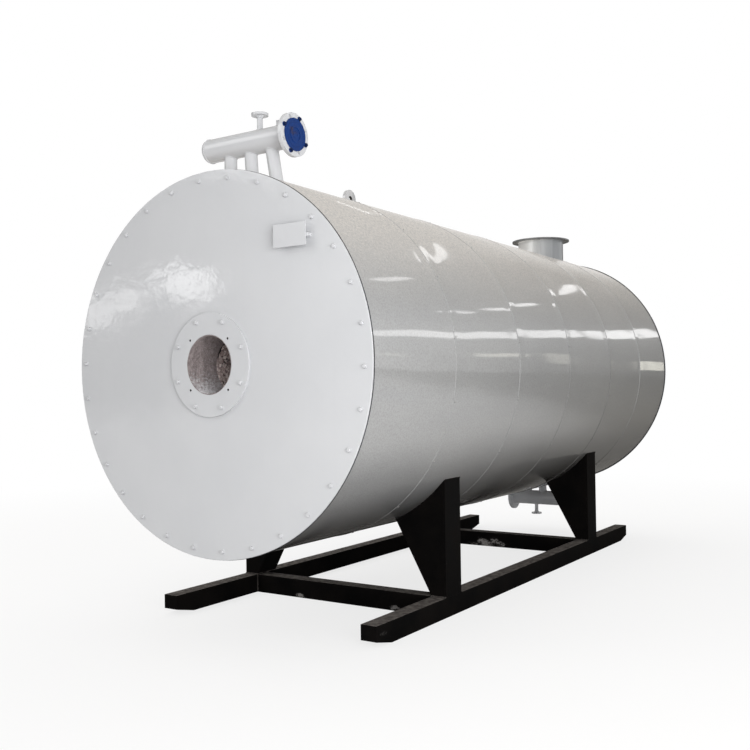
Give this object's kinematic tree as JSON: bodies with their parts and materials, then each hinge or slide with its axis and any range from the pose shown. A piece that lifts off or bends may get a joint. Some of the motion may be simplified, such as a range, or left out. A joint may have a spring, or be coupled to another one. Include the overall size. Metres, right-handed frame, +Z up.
{
  "type": "industrial boiler",
  "caption": "Horizontal cylindrical thermal-oil boiler on a welded skid, with a bolted burner plate, cross headers for outlet and return, and a flanged flue neck on top.",
  "frame": {"origin": "on the floor, at the middle of the whole boiler in plan", "axes": "+X to the right seen from the burner end, +Y from the burner end to the rear, +Z up"},
  "size_m": [2.2, 5.172, 3.053],
  "materials": {
    "plate_paint": "pale cool-grey gloss paint",
    "cladding_sheet": "coated sheet with a fine speckle under a clear gloss, dusty on top",
    "casing_insulation": "mineral wool behind a dull inner sheet",
    "skid_paint": "black paint with dust",
    "flue_paint": "mid-grey paint",
    "cover_plastic": "deep blue moulded plastic",
    "castable": "rough fired castable"
  },
  "bodies": {
    "root": {"bottom_casing": "casing_insulation", "bottom_header": "plate_paint", "bottom_header_cap": "plate_paint", "bottom_header_flange": "plate_paint", "bottom_risers": "plate_paint", "burner_ring": "plate_paint", "burner_throat": "castable", "cladding_course_1": "cladding_sheet", "cladding_course_2": "cladding_sheet", "cladding_course_3": "cladding_sheet", "cladding_course_4": "cladding_sheet", "cladding_course_5": "cladding_sheet", "cladding_course_6": "cladding_sheet", "drain_flange": "plate_paint", "drain_pipe": "plate_paint", "flange_cover": "cover_plastic", "flue_flange": "flue_paint", "flue_neck": "flue_paint", "front_cross_member": "skid_paint", "front_left_leg_plates": "skid_paint", "front_left_leg_webs": "skid_paint", "front_plate": "plate_paint", "front_right_leg_plates": "skid_paint", "front_right_leg_webs": "skid_paint", "gauge_socket": "plate_paint", "left_casing": "casing_insulation", "left_rail": "skid_paint", "lifting_lug": "plate_paint", "plate_holder": "plate_paint", "rear_cross_member": "skid_paint", "rear_left_leg_plates": "skid_paint", "rear_left_leg_webs": "skid_paint", "rear_plate": "plate_paint", "rear_right_leg_plates": "skid_paint", "rear_right_leg_webs": "skid_paint", "right_casing": "casing_insulation", "right_rail": "skid_paint", "top_casing": "casing_insulation", "top_header": "plate_paint", "top_header_cap": "plate_paint", "top_header_flange": "plate_paint", "top_risers": "plate_paint", "vent_flange": "plate_paint", "vent_pipe": "plate_paint"}
  },
  "joints": []
}
